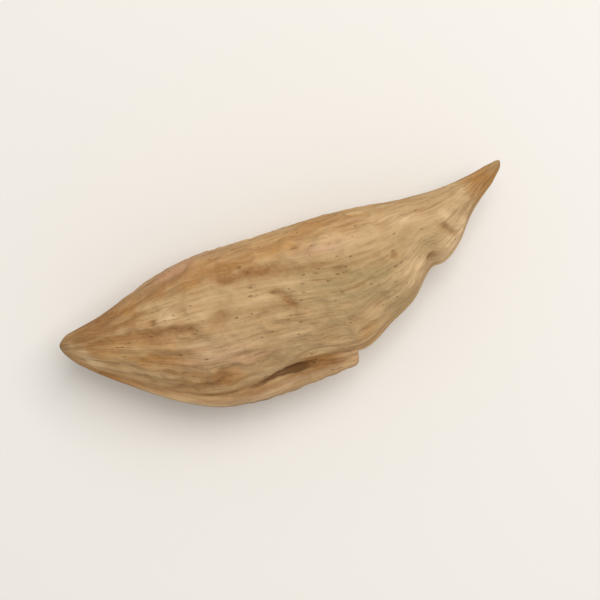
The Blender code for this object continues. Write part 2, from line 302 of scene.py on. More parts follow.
@dataclass
class NutForm:
    """The smooth nut: its outlines in plan, its thickness, its lip and its split."""

    length: float = 40.0
    upper_cheek: float = 5.5
    lower_cheek: float = 5.2
    apex_radius: float = 1.1
    beak_radius: float = 0.5
    rest_depth: float = 0.26
    sides: int = 280
    sections: int = 346
    end_crowding: float = 0.35
    lip_share: float = 26 / 140
    smallest_width: float = 0.001
    back_edge: Curve = Curve(
        ((0, 0.7), (4, 1.15), (9.5, 2.2), (13.5, 2.5), (19, 2.1), (25, 1.3), (31, 0.2), (37, -0.3), (40, 0.15))
    )
    valve_edge: Curve = Curve((
        (0, -0.7), (1.2, -2.0), (4, -4.5), (7, -6.9), (10, -8.6), (13.5, -9.3), (18, -9.25), (21.2, -9.6),
        (23.8, -9.85), (26.3, -8.8), (29, -7.6), (30.4, -6.4), (31.1, -5.9), (32.3, -5.85), (34.3, -4.7),
        (35.7, -3.2), (37.2, -2.05), (38.7, -1.15), (40, -0.3),
    ))
    lip_width: Curve = Curve(
        ((0, 0.0), (2, 0.35), (6, 0.75), (10, 1.1), (14, 1.5), (17.5, 1.85), (20, 1.75), (22.2, 1.4), (23, 1.3))
    )
    lip_end: float = 22.75
    lip_end_radius: float = 0.6
    lip_thickness: float = 0.45
    lip_rounding: float = 0.45
    lip_start: Pair = (-0.1, 0.7)
    lip_thinning: float = 0.3
    thin_lip: Span = (18.5, 22.0, 23.0, 26.0)
    frayed: Span = (8.0, 13.0, 22.4, 24.5)
    lip_fray: float = 0.07
    lip_fray_cell: float = 1.1
    seam_rim: float = 0.22
    lower_bulge: Curve = Curve(
        ((0, 0.0), (8, 0.05), (12, 0.45), (16, 0.9), (19, 0.9), (21.3, 0.4), (22.9, 0.0), (40, 0.0))
    )
    cheek_profile: Curve = Curve((
        (0, 0.17), (2, 0.42), (6, 0.74), (12, 0.97), (17.5, 1.0), (24, 0.92), (29, 0.74), (33, 0.53),
        (36, 0.31), (38.5, 0.16), (40, 0.07),
    ))
    back_fullness: float = 0.5
    keel_fullness: float = 0.6
    crest_shift: float = 0.12
    seam_height: Curve = Curve(((0, 0.2), (10, 0.35), (19, -0.1), (26, 0.1), (34, -0.1), (40, -0.5)))
    split_line: Curve = Curve((
        (0, -0.8), (4, -4.7), (7, -7.1), (10, -8.8), (13.5, -9.4), (15, -9.22), (17, -9.31), (18.2, -9.48),
        (19.5, -9.7), (21, -10.15), (22.7, -10.3), (24, -10.3), (40, -10.3),
    ))
    split_depth: Curve = Curve((
        (0, 0.0), (4, 0.1), (13, 0.12), (14.8, 0.5), (16.2, 0.7), (17.1, 0.88), (17.9, 0.9), (18.6, 0.55),
        (19.6, 0.36), (21, 0.35), (22.7, 0.25), (23.4, 0.0), (40, 0.0),
    ))
    split_half_width: Curve = Curve((
        (0, 0.16), (14, 0.15), (16, 0.17), (17.3, 0.25), (18.3, 0.2), (20, 0.16), (22.7, 0.15), (40, 0.15),
    ))
    split_floor: float = 0.4
    split_fray: float = 0.1
    split_fray_cell: float = 0.9
    split_unevenness: float = 0.35
    split_width_cell: float = 0.7
    edge_rounding: float = 0.06

    def tip_rounding(self, along: Array) -> Array:
        """Round the apex and the beak off, both in plan and in thickness."""
        return quarter_round(along, self.apex_radius) * quarter_round(self.length - along, self.beak_radius)

    def fray(self, along: Array, cell: float, shift: float) -> Array:
        """Give the small in and out of a torn edge at each distance, along the stretch that is frayed."""
        line = np.outer(along / cell, (1.0, 0.0, 0.0))
        return soft_noise(line, octaves=3, shift=shift) * hump(along, *self.frayed)

    def plan_limits(self, along: Array) -> tuple[Array, Array, Array]:
        """Give the outline in plan.

        Args:
            along: Distances from the apex.

        Returns:
            The back edge, the upper valve's edge and the lip's width at each distance.
        """
        middle = 0.5 * (self.back_edge.at(along) + self.valve_edge.at(along))
        rounding = self.tip_rounding(along)
        back = middle + (self.back_edge.at(along) - middle) * rounding
        edge = middle + (self.valve_edge.at(along) - middle) * rounding
        uneven = 1 + self.lip_fray * self.fray(along, self.lip_fray_cell, Shift.LIP)
        lip = self.lip_width.at(np.minimum(along, self.lip_end)) * uneven
        lip = lip * quarter_round(self.lip_end - along, self.lip_end_radius)
        return back, edge, np.maximum(lip, self.seam_rim) * rounding

    def side(self, across: Array, edge: Array, back: Array) -> Array:
        """Give the place across as a share: -1 at the valve's edge and 1 at the back edge."""
        return (2 * across - edge - back) / np.maximum(back - edge, self.smallest_width)

    def cheek_height(self, across: Array, edge: Array, back: Array, height: Array) -> Array:
        """Give the height of a cheek over the seam.

        Args:
            across: Places across.
            edge: The cheek's keel side at each point.
            back: The back edge at each point.
            height: The cheek's greatest height at each point.

        Returns:
            Heights that follow an ellipse at the back and turn into a lens at the keel.
        """
        side = self.side(across, edge, back)
        side = side - self.crest_shift * (1 - side * side)
        power = self.keel_fullness + (self.back_fullness - self.keel_fullness) * ease(-1.0, 0.4, side)
        return height * np.clip(1 - side * side, 0.0, 1.0) ** power

    def place_across(self, turn: Array, back: Array, edge: Array, lip: Array) -> Array:
        """Give the place across for each turn: over the body first, then out over the lip to its edge."""
        share = np.abs(turn) / math.pi
        body = np.clip(share / (1 - self.lip_share), 0.0, 1.0)
        over_lip = np.clip((share - 1 + self.lip_share) / self.lip_share, 0.0, 1.0)
        over_body = 0.5 * (back + edge) + 0.5 * (back - edge) * np.cos(math.pi * body)
        return over_body - lip * np.sin(0.5 * math.pi * over_lip)

    def split(self, along: Array, across: Array, lip: Array) -> Array:
        """Give how deep the split between the two halves is at each point of the upper side."""
        wander = self.split_fray * self.fray(along, self.split_fray_cell, Shift.SPLIT_LINE)
        line = self.split_line.at(along) + wander
        uneven = 1 + self.split_unevenness * self.fray(along, self.split_width_cell, Shift.SPLIT_WIDTH)
        width = self.split_half_width.at(along) * uneven
        depth = np.maximum(self.split_depth.at(along), 0.0)
        return depth * np.exp(-(((across - line) / width) ** 4)) * ease(0.0, 0.5, lip)

    def plain_points(self, along: Array, turn: Array) -> Array:
        """Place each point of the smooth nut.

        Args:
            along: Distances from the apex.
            turn: Turns round the section: 0 at the back edge, half a turn at the keel, and positive on the
                upper cheek.

        Returns:
            The points in the nut's own axes.
        """
        back, edge, lip = self.plan_limits(along)
        outer = edge - lip
        across = self.place_across(turn, back, edge, lip)
        thickness = self.cheek_profile.at(along) * self.tip_rounding(along)
        upper = self.cheek_height(across, edge, back, self.upper_cheek * thickness)
        bulged = edge - self.lower_bulge.at(along)
        lower = self.cheek_height(across, bulged, back, self.lower_cheek * thickness)
        blade = self.lip_thickness * (1 - self.lip_thinning * hump(along, *self.thin_lip))
        rim = blade * quarter_round(across - outer, self.lip_rounding) * ease(*self.lip_start, lip)
        below = smooth_larger(lower, rim)
        above = smooth_larger(upper, rim)
        floor = np.minimum(above, self.split_floor - below)
        above = np.maximum(above - self.split(along, across, lip), floor)
        height = np.where(turn >= 0, above, -below)
        edges = ease(0.0, self.edge_rounding, np.minimum(across - outer, back - across))
        return np.stack((along, across, self.seam_height.at(along) + height * edges), axis=1)


@dataclass
class Relief:
    """Everything that is carved into the smooth nut or stands out of it, along its normal."""

    form: NutForm
    furrows: dict[Cheek, tuple[Furrow, ...]] = field(default_factory=lambda: {
        Cheek.UPPER: (
            Furrow((
                (13.6, 0.62), (16, -0.17), (17.6, -0.5), (18.5, -0.75), (21.5, -1.95), (24.5, -2.8),
                (26.5, -3.2),
            ), 0.5, 0.15, 3),
            Furrow(((13.8, 0.45), (16, -0.2), (18, -0.5)), 0.42, 0.22, 1.4),
            Furrow(((14.8, -3.6), (16.2, -4), (17.6, -4.4)), 0.22, 0.06),
            Furrow(((2, -0.5), (4.5, -1.1), (7.5, -1.75)), 0.24, 0.17),
            Furrow(((6.5, -1.9), (9, -2.35), (12.2, -3.5)), 0.36, 0.26),
            Furrow(((4.6, -4.2), (6.2, -5.2), (7.2, -5.7)), 0.18, 0.08, 1),
            Furrow(((2.8, 0.2), (6, 0.6), (10, 1)), 0.3, 0.16),
            Furrow(((2.2, -1.7), (4.2, -3.2), (6, -4.3)), 0.22, 0.15, 1),
            Furrow(((4.5, -4.4), (6.5, -5.3), (8.6, -5.7)), 0.26, 0.15, 1),
            Furrow(((5.6, -5.4), (7.5, -6.1), (9.6, -6.5)), 0.24, 0.17, 1),
            Furrow(((7, -6.4), (9.2, -7.2), (12.6, -7.9)), 0.32, 0.24, 1.2),
            Furrow(((9.5, -6.8), (11.5, -7.1), (13.6, -7.2)), 0.22, 0.16, 1),
            Furrow(((8.5, -8.2), (10.8, -9.05), (14.6, -9.45)), 0.22, 0.16, 1.2),
            Furrow(((4.6, -2.6), (8, -4.3), (11.5, -5.4)), 0.3, 0.12),
            Furrow(((17.9, -2.75), (18.6, -2.85), (19.1, -3.5), (19.5, -4.4), (19.9, -5.3)), 0.3, 0.23, 1.2),
            Furrow(((21, -7.6), (24, -7.4), (27, -6.6)), 0.5, 0.14),
            Furrow(((16, 1.3), (20, 1), (24, 0.2)), 0.42, 0.1),
            Furrow((
                (32.6, -2.95), (33.1, -3.15), (33.5, -3.65), (33.9, -4.2), (33.75, -4.6),
            ), 0.26, 0.24, 0.6),
            Furrow(((32, -4.9), (31.4, -5.3), (31.3, -6.1)), 0.22, 0.26, 0.5),
            Furrow(((36.2, -0.6), (37.6, -0.75), (39.2, -0.3)), 0.16, 0.12, 0.8),
            Furrow(((36.4, -1.5), (37.6, -1.45), (38.8, -0.9)), 0.14, 0.1, 0.8),
        ),
        Cheek.LOWER: (
            Furrow(((2, -0.6), (6, -0.8), (11, -1.3), (16, -2.1)), 0.42, 0.34),
            Furrow(((3, -2), (7, -3.9), (12, -5.4), (17, -6.3)), 0.42, 0.34),
            Furrow(((4, -4.3), (8, -6.6), (12, -8), (17, -8.5)), 0.4, 0.34),
            Furrow(((9, 1.2), (14, 1.4), (19, 0.9)), 0.42, 0.22),
            Furrow(((19, -3.6), (24, -3.7), (29, -3.2)), 0.55, 0.32),
            Furrow(((22, -6.9), (26, -6.2), (30, -5.1)), 0.45, 0.26),
            Furrow(((21, -0.2), (26, -0.6), (31, -1.1)), 0.45, 0.22),
        ),
    })
    pits: dict[Cheek, tuple[Pit, ...]] = field(default_factory=lambda: {
        Cheek.UPPER: (
            Pit(8.4, -1.2, 0.26, 0.34), Pit(24, -3.4, 0.4, 0.2), Pit(28.5, -3.9, 0.3, 0.24),
            Pit(13.6, -2.8, 0.7, 0.12), Pit(18.45, -2.95, 0.34, 0.08),
        ),
        Cheek.LOWER: (
            Pit(10.5, -3.1, 0.5, 0.32), Pit(15.5, -4.2, 0.45, 0.26), Pit(21.5, -5.1, 0.5, 0.32),
            Pit(26, -2, 0.45, 0.28),
        ),
    })
    collar: Furrow = Furrow(((35.1, -0.2), (35.7, -1.6), (35.2, -3.4), (34.2, -4.8), (32.3, -6)), 0.5, 0.34)
    wander: Pair = (0.392, 0.28)
    wander_size: float = 2.2
    net_cell: Triple = (3.0, 1.9, 2.2)
    net_height: float = 0.24
    net_ridge: float = 0.3
    netted: Span = (4.0, 9.0, 29.0, 34.0)
    small_net_cell: Triple = (1.35, 0.8, 0.9)
    small_net_height: float = 0.08
    small_net_ridge: float = 0.34
    small_netted: Span = (6.0, 12.0, 28.0, 33.0)
    pored: Span = (5.0, 10.0, 29.0, 34.0)
    pore_cell: float = 1.15
    pore_shape: Triple = (1.3, 1.3, 0.5)
    pore_share: float = 0.4
    pore_radius: float = 0.15
    pore_depth: float = 0.12
    swell_size: float = 6.5
    swell_height: float = 0.2
    streaks_round: float = 5.5
    streak_length: float = 7.0
    streak_height: float = 0.2
    streak_reach: float = 17.0
    strand_height: float = 0.045
    strand_cell: Triple = (0.55, 0.55, 6.0)
    calm: Span = (9.0, 13.0, 26.0, 32.0)
    fibre_height: float = 0.018
    fibre_cell: Triple = (0.22, 0.22, 3.2)
    skin_height: float = 0.035
    rough_height: float = 0.045
    rough_cell: Triple = (1.5, 0.6, 0.7)
    grain_slant: float = 0.17
    grain_span: Pair = (2.0, 27.0)
    grain_width: float = 6.0
    full_width: float = 11.0
    band_cell: Triple = (0.8, 0.8, 6.5)
    cloud_cell: Triple = (6.5, 1.8, 1.8)
    cloud_strength: float = 0.6
    # Furrow depth at which the painted shade in the furrows is full.
    deep_furrow: float = 0.34
    # Split depth at which the painted shade in the split is full.
    deep_split: float = 1.1
    upper_share: Pair = (-0.6, -0.1)
    stains: dict[Tint, tuple[Stain, ...]] = field(default_factory=lambda: {
        Tint.OLIVE: patches(
            (22, -3.4, 3, 0.8, -15), (25, -5.6, 5, 2.2, -20, 0.8), (26.2, -4.5, 2.2, 0.7, -20, 0.8),
            (27.5, -7, 2, 1, 20, 0.5), (11.2, -4.2, 1.6, 0.7, -15, 0.6), (17, -8.1, 2.2, 0.7, -5, 0.6),
            (31, -3.5, 2.5, 1.3, -20, 0.5),
        ),
        Tint.ROSE: patches(
            (11.8, -5.5, 4, 1.5, -15, 0.5), (11.7, 1.9, 3.2, 0.7, 5, 1), (2.6, -2.7, 2.4, 0.6, -48, 0.5),
            (23.5, -1.1, 2.2, 0.5, -14, 0.8), (21.9, -10.7, 0.9, 0.9, 0, 0.9), (6.4, -6.5, 4, 0.35, -36),
            (8.6, -6.9, 2.2, 0.4, -34, 0.5),
        ),
        Tint.ORANGE: patches(
            (3.8, 0.9, 2.6, 0.8, 8, 0.9), (6.6, 0.6, 1, 0.7, 0, 0.8), (9.5, 0.7, 1.2, 0.35, 5, 0.6),
            (12.5, 0.3, 1.3, 0.4, 0, 0.6), (19.2, 0.5, 1.4, 0.5, -10, 0.6), (23.2, 1.1, 1.2, 0.4, -12, 0.6),
            (19.8, -9.5, 1.9, 0.6, -12, 0.9), (24.2, -9, 1.6, 0.7, 25, 0.5), (7.6, -6.3, 3.6, 1.1, -30, 0.35),
            (11.2, -7.6, 2.2, 0.6, -12, 0.9), (11.2, -8.3, 2.2, 0.5, -18, 0.6), (15.5, 0.3, 2.4, 0.6, -16),
            (4.2, -3, 5, 3.6, -30), (5.4, -3.6, 4, 1.6, -32, 0.75), (8.8, -6.7, 1.8, 0.5, -28, 0.6),
            (2.4, -0.9, 2, 1.3, -20, 0.5), (2.2, -2.1, 1.6, 0.6, -48, 0.6), (38, -0.8, 2.2, 1.3, 15, 1),
            (19.2, 0.85, 8.2, 0.9, -6, 0.75),
        ),
        Tint.BROWN: patches(
            (20.2, -9.65, 1.3, 0.35, -16, 0.4), (11, -7.5, 1.8, 0.4, -16, 0.75),
            (17, -0.42, 1.9, 0.4, -14, 0.85), (15.8, 1.15, 1.3, 0.7, -12, 0.5),
            (16, -3.95, 1.2, 0.25, -14, 0.3), (15.5, -0.17, 1.7, 0.45, -14, 0.95), (16.2, 1.7, 1.9, 0.45, -8),
            (6.2, -5.2, 1.5, 0.3, -34, 0.8), (6.2, -2.05, 1.8, 0.3, -16, 0.25),
            (5.6, -0.3, 2, 0.35, -2, 0.45), (14.9, -9.9, 2.2, 0.4, -9, 0.45), (13.6, -10.1, 3, 0.5, -8, 0.45),
            (17.9, -10, 1.6, 0.22, -8, 0.8), (20.4, -10.2, 1.7, 0.3, -12, 0.5),
            (19.4, -1.25, 1.8, 0.4, -18, 0.15), (3.6, 1.1, 2.2, 0.5, 10), (3, 0, 2.6, 1.3, 0, 0.6),
            (10, 1.2, 2.2, 0.5, 3, 0.4), (13.7, -2.6, 0.7, 1, -15, 0.5), (17, -0.25, 2.2, 0.4, -15, 0.4),
            # (5, 1.2) at the apex's back edge is a brown stain made darker as painted shadow of a neighbouring
            # nut.
            (8.6, -2, 3.6, 0.4, -14, 0.55), (19.1, -3.9, 0.5, 1.3, 20, 0.6), (5, 1.2, 1.8, 0.6, 12, 0.95),
            (33.75, -3.95, 0.6, 0.28, -42),
        ),
        Tint.PALE: patches(
            # (7, -7.2) is a painted highlight: a thin pale line along the keel's edge.
            (2.4, -2.2, 1.6, 0.5, -48), (7, -7.2, 3.6, 0.3, -34, 0.6), (7.5, -5.75, 1.1, 0.35, -30),
            (17.4, -4.8, 1.6, 0.5, -14, 0.5), (18.8, -10.85, 3, 0.3, -5), (20, -8.6, 1.4, 0.35, -8),
            (11.4, -8.45, 1.8, 0.28, -18, 0.8), (5.6, -4.6, 3.6, 0.8, -38, 0.85), (8, -6.2, 2, 0.5, -32, 0.5),
            # (9.8, -1.1) here and (12, -1.6) on the next line are painted highlights on the cheek near the
            # apex.
            (6.6, -2.9, 2.6, 0.5, -18, 0.5), (0.9, -0.5, 0.7, 0.7, 0, 0.6), (9.8, -1.1, 1.1, 0.7, -5, 1),
            (12, -1.6, 1.8, 0.8, -10, 0.6), (17, -2.9, 1.4, 0.5, -12), (13.2, -1.9, 1.6, 0.6, -10),
            (19.8, -2.6, 1.2, 0.35, -16, 0.8), (23.2, -0.3, 1.9, 0.6, -14, 0.8),
            (19.5, 1.1, 4.5, 0.7, -8, 0.15), (26.5, -1.6, 4, 1.2, -15, 0.5), (32, -2, 3, 1.2, -22, 0.6),
            # (33.6, -5) on the collar's low end is pale collar colour raised to full strength as painted light,
            # where the slope turns away from the key.
            (29.4, -5.6, 2, 1, 35, 1), (24.5, -7.6, 2.6, 0.7, 8), (33.6, -5, 2, 1.2, 40, 1),
            (35.2, -1.6, 0.9, 2, 0, 0.9), (39, -0.3, 0.9, 0.4, 20, 0.5), (21.8, -10.7, 0.9, 0.7),
        ),
        Tint.CREAM: patches(
            # (33.7, -4.9) on the collar's low end is painted light: it brightens a slope that turns away from
            # the key.
            (30, -1.35, 1.7, 0.4, -20), (33.9, -2.6, 0.9, 0.5, -50), (33.7, -4.9, 1.6, 0.8, 38, 1),
            # (9.9, -1.1) is a painted highlight, over the pale one at the same place.
            (29.9, -5.7, 1.3, 0.5, 38), (21.9, -10.7, 0.8, 0.35, -5, 0.35), (9.9, -1.1, 0.7, 0.4, -5, 0.8),
            (2.4, -1.95, 1.3, 0.4, -45),
        ),
    })
    rest_place: Pair = (17.8, -3.5)
    rest_reach: float = 3.6

    def flow(self, points: Array, turn: Array) -> Array:
        """Give each point's place in the grain of the shell, whose fibres run from the apex to the stem end.

        Args:
            points: Points of the smooth nut.
            turn: Their turns round the section.

        Returns:
            Rows of the place across, the height over the seam and the distance along. The first two are spread
            as if every section were as wide as the middle one, and the grain slants a little over the cheeks.
        """
        form = self.form
        along = points[:, 0]
        back, edge, _ = form.plan_limits(along)
        thickness = form.cheek_profile.at(along) * form.tip_rounding(along)
        height = (points[:, 2] - form.seam_height.at(along)) / np.maximum(thickness, 0.02)
        drift = np.clip(along, *self.grain_span) - np.mean(self.grain_span)
        slant = self.grain_slant * drift * np.sin(turn)
        spread = self.grain_width * form.side(points[:, 1], edge, back)
        return np.stack((spread + slant, height, along), axis=1)

    def bend(self, points: Array) -> Array:
        """Move the points a little in plan, so that furrows, ridges and stains wander."""
        along, across, height = points.T
        slow = points / self.wander_size
        bent_along = along + self.wander[0] * soft_noise(slow, 4, Shift.BEND_ALONG)
        bent_across = across + self.wander[1] * soft_noise(slow, 4, Shift.BEND_ACROSS)
        return np.stack((bent_along, bent_across, height), axis=1)

    def carved(self, bent: Array, uneven: Array, cheek: Cheek) -> Array:
        """Give the depth of one cheek's furrows and pits at each point."""
        depth = np.zeros(len(bent))
        for mark in (*self.furrows[cheek], *self.pits[cheek]):
            depth += mark.depth * mark.strength(bent[:, 0], bent[:, 1], uneven)
        return depth

    def pores(self, flow: Array, inner: Array) -> Array:
        """Give how strongly each point lies in a pore.

        Args:
            flow: Places in the grain.
            inner: How far each point lies inside the outline.

        Returns:
            1 in the middle of a pore and 0 away from all of them.
        """
        nearest, _, draw = cells(flow * self.pore_shape / self.pore_cell, Shift.PORES)
        radius = self.pore_radius * (0.5 + 0.9 * draw / self.pore_share)
        pore = np.where(draw < self.pore_share, 1 - ease(0.4, 1.0, nearest / radius), 0.0)
        return pore * hump(flow[:, 2], *self.pored) * ease(0.6, 1.8, inner)

    def streaks(self, along: Array, turn: Array) -> Array:
        """Give the streaks that run out from the apex, about -1 to 1."""
        length = self.streak_length * self.streaks_round
        rounds = np.stack((np.cos(turn), np.sin(turn), along / length), axis=1)
        fade = 1 - ease(0.5 * self.streak_reach, self.streak_reach, along)
        return soft_noise(rounds * self.streaks_round) * fade

    def bands(self, flow: Array, width: Array, inner: Array) -> Array:
        """Give the bands of colour along the grain.

        Args:
            flow: Places in the grain.
            width: The nut's width at each point.
            inner: How far each point lies inside the outline.

        Returns:
            Values below 0 in the dark bands and over 0 in the light ones.
        """
        spread = np.sqrt(np.clip(width / self.full_width, 0.02, 1.0))
        lanes = np.stack((flow[:, 0] * spread, flow[:, 1] * spread, flow[:, 2]), axis=1)
        bands = soft_noise(lanes / self.band_cell, 2, Shift.BANDS)
        return bands * (1 - 0.45 * ease(8.0, 14.0, flow[:, 2]) * ease(0.3, 2.0, inner))

    def measure(self, points: Array, turn: Array) -> dict[str, Array]:
        """Work out the relief and what the finish needs to know about each point.

        Args:
            points: Points of the smooth nut.
            turn: Their turns round the section.

        Returns:
            The height of the relief, the place in the grain, and masks from 0 to 1 for furrows, the net's
            hollows, pores, the old outer skin, the lip and collar, the split, both bands and each tint. The
            furrow, hollow, pore and split masks darken the colour as painted shade.
        """
        form = self.form
        along, across = points[:, 0], points[:, 1]
        back, edge, lip = form.plan_limits(along)
        on_top = turn >= 0
        inner = np.minimum(across - edge, back - across)
        flow = self.flow(points, turn)
        bent = self.bend(points)
        rough = soft_noise(points / self.rough_cell, 3, Shift.ROUGHNESS)
        carved = np.where(on_top, *(self.carved(bent, rough, cheek) for cheek in Cheek))
        reach = hump(along, *self.netted)
        nearest, second, _ = cells(bent / self.net_cell)
        net = np.exp(-(((second - nearest) / self.net_ridge) ** 2)) * reach
        nearest, second, _ = cells(bent / self.small_net_cell, Shift.SMALL_NET)
        small_net = np.exp(-(((second - nearest) / self.small_net_ridge) ** 2))
        small_net = small_net * hump(along, *self.small_netted)
        pore = self.pores(flow, inner)
        collar = self.collar.strength(bent[:, 0], bent[:, 1], 0.5 * rough)
        strand = soft_noise(flow / self.strand_cell, 2, Shift.STRANDS)
        fibre = soft_noise(flow / self.fibre_cell, 2, Shift.FIBRES)
        swell = soft_noise(points / self.swell_size)
        bands = self.bands(flow, back - edge, inner)
        top_share = ease(*self.upper_share, np.sin(turn))
        uneven = np.clip(1 + 0.6 * strand + 0.3 * rough, 0.5, 1.7)
        covers = {tint: self.cover(tint, bent, top_share) * uneven for tint in Tint}
        skin = ease(0.0, 0.12, covers[Tint.ORANGE] + covers[Tint.BROWN] - 0.45 + 0.3 * rough)

        body = ease(0.0, 0.8, across - edge) * (0.55 + 0.45 * ease(0.0, 0.8, back - across))
        tips = ease(0.3, 2.0, along) * ease(0.2, 1.5, form.length - along)
        to_rest = np.hypot(along - self.rest_place[0], across - self.rest_place[1])
        worn = np.where(on_top, 1.0, ease(0.4 * self.rest_reach, self.rest_reach, to_rest))
        height = -carved + self.collar.depth * collar + self.net_height * (net - 0.4 * reach)
        height += self.small_net_height * small_net - self.pore_depth * pore + self.skin_height * skin
        height += self.rough_height * rough + self.streak_height * self.streaks(along, turn)
        height = height * body * tips * worn + self.swell_height * swell * tips
        grain = self.strand_height * strand * (1 - 0.55 * hump(along, *self.calm)) + self.fibre_height * fibre
        height += grain * tips * (0.7 + 0.3 * body) * worn

        split = np.where(on_top, form.split(along, across, lip), 0.0)
        on_lip = ease(-0.05, 0.35, edge - 0.35 * lip - across) * ease(0.2, 0.5, lip)
        return {
            "height": height,
            "flow": flow,
            # Painted shade in the furrows, stronger the deeper they are cut.
            "groove": np.clip(carved / self.deep_furrow, 0, 1) * body,
            # Painted shade in the net's hollows.
            "hollow": np.clip(0.55 - net - 0.5 * small_net, 0, 1) * reach * body,
            # Painted shade inside the pores, besides their carved depth.
            "pore": pore,
            "skin": skin * body,
            "rim": np.maximum(on_lip, 0.8 * collar * np.where(on_top, 1.0, 0.6)),
            # Painted shade in the split between the two halves.
            "split": np.clip(split / self.deep_split, 0, 1),
            "dark_band": ease(0.02, 0.5, -bands),
            "light_band": ease(0.02, 0.5, bands),
        } | {tint.value: np.clip(cover, 0, 1) for tint, cover in covers.items()}

    def cover(self, tint: Tint, bent: Array, top_share: Array) -> Array:
        """Give how strongly one tint stains each point.

        Args:
            tint: The tint.
            bent: The points, moved a little so that the patches' edges wander.
            top_share: 1 for points on the upper cheek and 0 for those well beneath the edge.

        Returns:
            The tint's strength: its patches on the upper cheek, and clouds of it on the lower one.
        """
        bare = np.ones(len(bent))
        for stain in self.stains[tint]:
            bare *= 1 - stain.cover(bent[:, 0], bent[:, 1])
        shift = Shift.STAINS + 7.0 * list(Tint).index(tint)
        clouds = self.cloud_strength * ease(0.0, 0.5, soft_noise(bent / self.cloud_cell, 3, shift))
        return top_share * (1 - bare) + (1 - top_share) * clouds


@dataclass(frozen=True)
class Graph:
    """A node tree that is built from its inputs to its output, each node wired as it is added."""

    tree: bpy.types.NodeTree

    def node(self, kind: str, inputs: dict | None = None, **settings: object) -> bpy.types.Node:
        """Add a node.

        Args:
            kind: Blender's name of the node's type.
            inputs: Sockets by name or number, each with a value or with the output that feeds it.
            **settings: The node's own settings.

        Returns:
            The new node.
        """
        node = self.tree.nodes.new(kind)
        for name, value in settings.items():
            setattr(node, name, value)
        for key, value in (inputs or {}).items():
            if isinstance(value, Socket):
                self.tree.links.new(value, node.inputs[key])
            else:
                node.inputs[key].default_value = value
        return node

    def attribute(self, name: str, output: str = "Fac") -> Socket:
        """Read one of the mesh's own attributes."""
        return self.node("ShaderNodeAttribute", attribute_name=name).outputs[output]

    def mix(self, first: object, second: object, share: object) -> Socket:
        """Mix two colours, each a value or a socket: the first at a share of 0 and the second at 1."""
        inputs = {0: share, 6: first, 7: second}
        return self.node("ShaderNodeMix", inputs, data_type="RGBA").outputs[2]

    def math(self, operation: str, *values: object) -> Socket:
        """Join numbers with one operation and give the result's socket."""
        node = self.node("ShaderNodeMath", dict(enumerate(values)), operation=operation)
        return node.outputs[0]

    def remap(self, value: object, low: float, high: float, start: float = 0.0, end: float = 1.0) -> Socket:
        """Move a value smoothly from the range of low to high to the range of start to end."""
        inputs = {"Value": value, "From Min": low, "From Max": high, "To Min": start, "To Max": end}
        return self.node("ShaderNodeMapRange", inputs, interpolation_type="SMOOTHSTEP").outputs[0]

    def noise(self, place: Socket, scale: float, detail: float, roughness: float, bend: float = 0.0) -> Socket:
        """Read smooth noise at a place."""
        inputs = {"Vector": place, "Scale": scale, "Detail": detail, "Roughness": roughness, "Distortion": bend}
        return self.node("ShaderNodeTexNoise", inputs).outputs["Fac"]

    def stretch(self, place: Socket, factors: Triple) -> Socket:
        """Multiply the three parts of a place by three factors."""
        return self.node("ShaderNodeVectorMath", {0: place, 1: factors}, operation="MULTIPLY").outputs[0]

    def scale(self, place: Socket, factor: Socket) -> Socket:
        """Multiply a place by one factor."""
        return self.node("ShaderNodeVectorMath", {0: place, "Scale": factor}, operation="SCALE").outputs[0]


